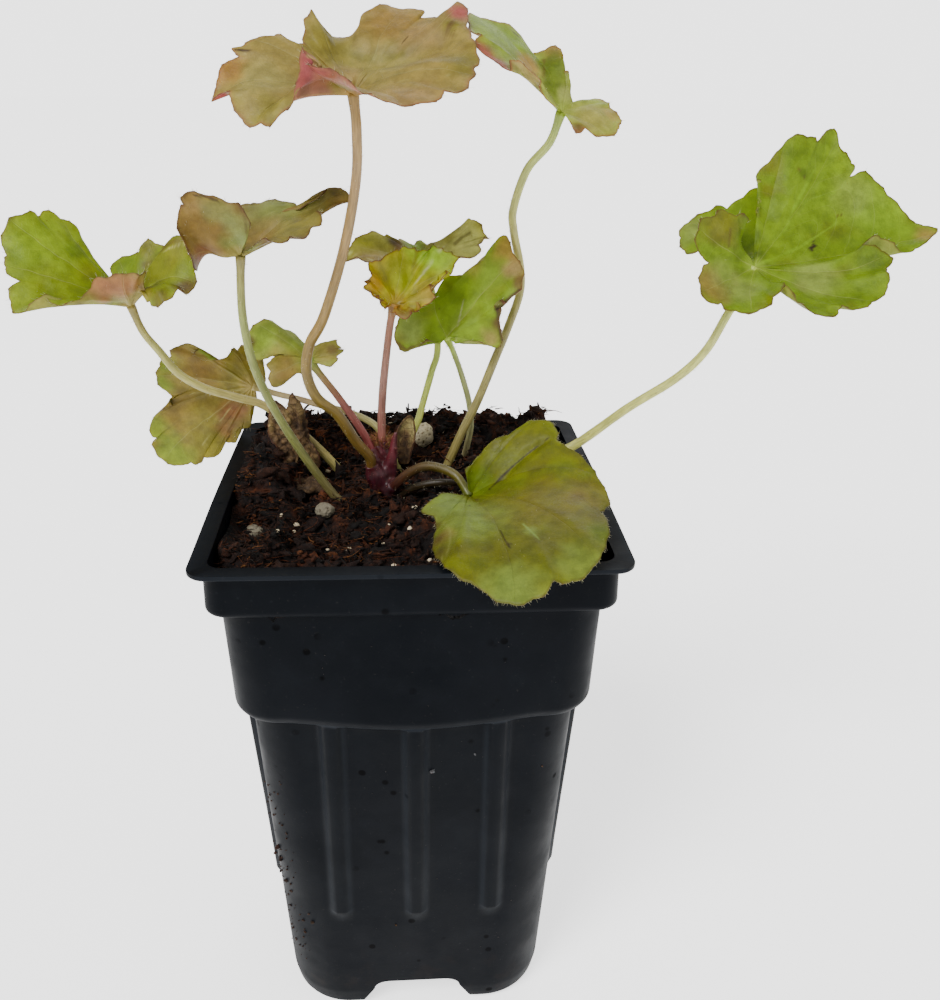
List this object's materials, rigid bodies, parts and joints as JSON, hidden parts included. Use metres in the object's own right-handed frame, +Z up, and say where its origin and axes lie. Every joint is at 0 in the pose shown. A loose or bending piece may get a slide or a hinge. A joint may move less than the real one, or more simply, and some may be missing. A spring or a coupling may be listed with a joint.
{
  "type": "potted coral bells plant",
  "caption": "Young coral bells plant with lobed bronze and green leaves on thin stalks, rooted in peat in a tall square black nursery pot.",
  "frame": {"origin": "middle of the bounding box of pot and plant together, on the floor under the pot's feet", "axes": "+Z up, +X to the right and +Y away from the side of the pot that faces the viewer"},
  "size_m": [0.2106, 0.1014, 0.2379],
  "materials": {
    "pot_plastic": "thin moulded polypropylene, dark blue-black, dull with a soft sheen",
    "peat": "moist dark brown fibrous peat, rough",
    "crown_magenta": "fleshy crown, magenta red, finely hairy",
    "stalk_green": "pale yellow-green hairy stalk",
    "stalk_tan": "tan to reddish hairy stalk",
    "stalk_red": "pinkish red hairy stalk",
    "leaf_green": "veined olive to yellow-green leaf with a bronze flush",
    "leaf_bronze": "veined bronze leaf with a pink underside",
    "leaf_yellow": "young yellow leaf",
    "withered": "dry crumpled brown leaf",
    "perlite": "off-white porous grain"
  },
  "bodies": {
    "root": {"pot": "pot_plastic", "soil": "peat", "crown": "crown_magenta", "stalk_a": "stalk_tan", "blade_a": "leaf_bronze", "stalk_b": "stalk_green", "blade_b": "leaf_green", "stalk_c": "stalk_green", "blade_c": "leaf_green", "stalk_d": "stalk_tan", "blade_d": "leaf_green", "stalk_e": "stalk_green", "blade_e": "leaf_green", "stalk_f": "stalk_green", "blade_f": "leaf_bronze", "stalk_g": "stalk_green", "blade_g": "leaf_bronze", "stalk_h": "stalk_red", "blade_h": "leaf_green", "stalk_i": "stalk_red", "blade_i": "leaf_yellow", "stalk_j": "stalk_green", "blade_j": "leaf_bronze", "stalk_k": "stalk_green", "blade_k": "leaf_green", "short_stalk": "stalk_tan", "dead_leaf": "withered", "dead_leaf_half": "withered", "bract": "withered", "perlite_large": "perlite", "perlite_front": "perlite", "perlite_left": "perlite"}
  },
  "joints": []
}
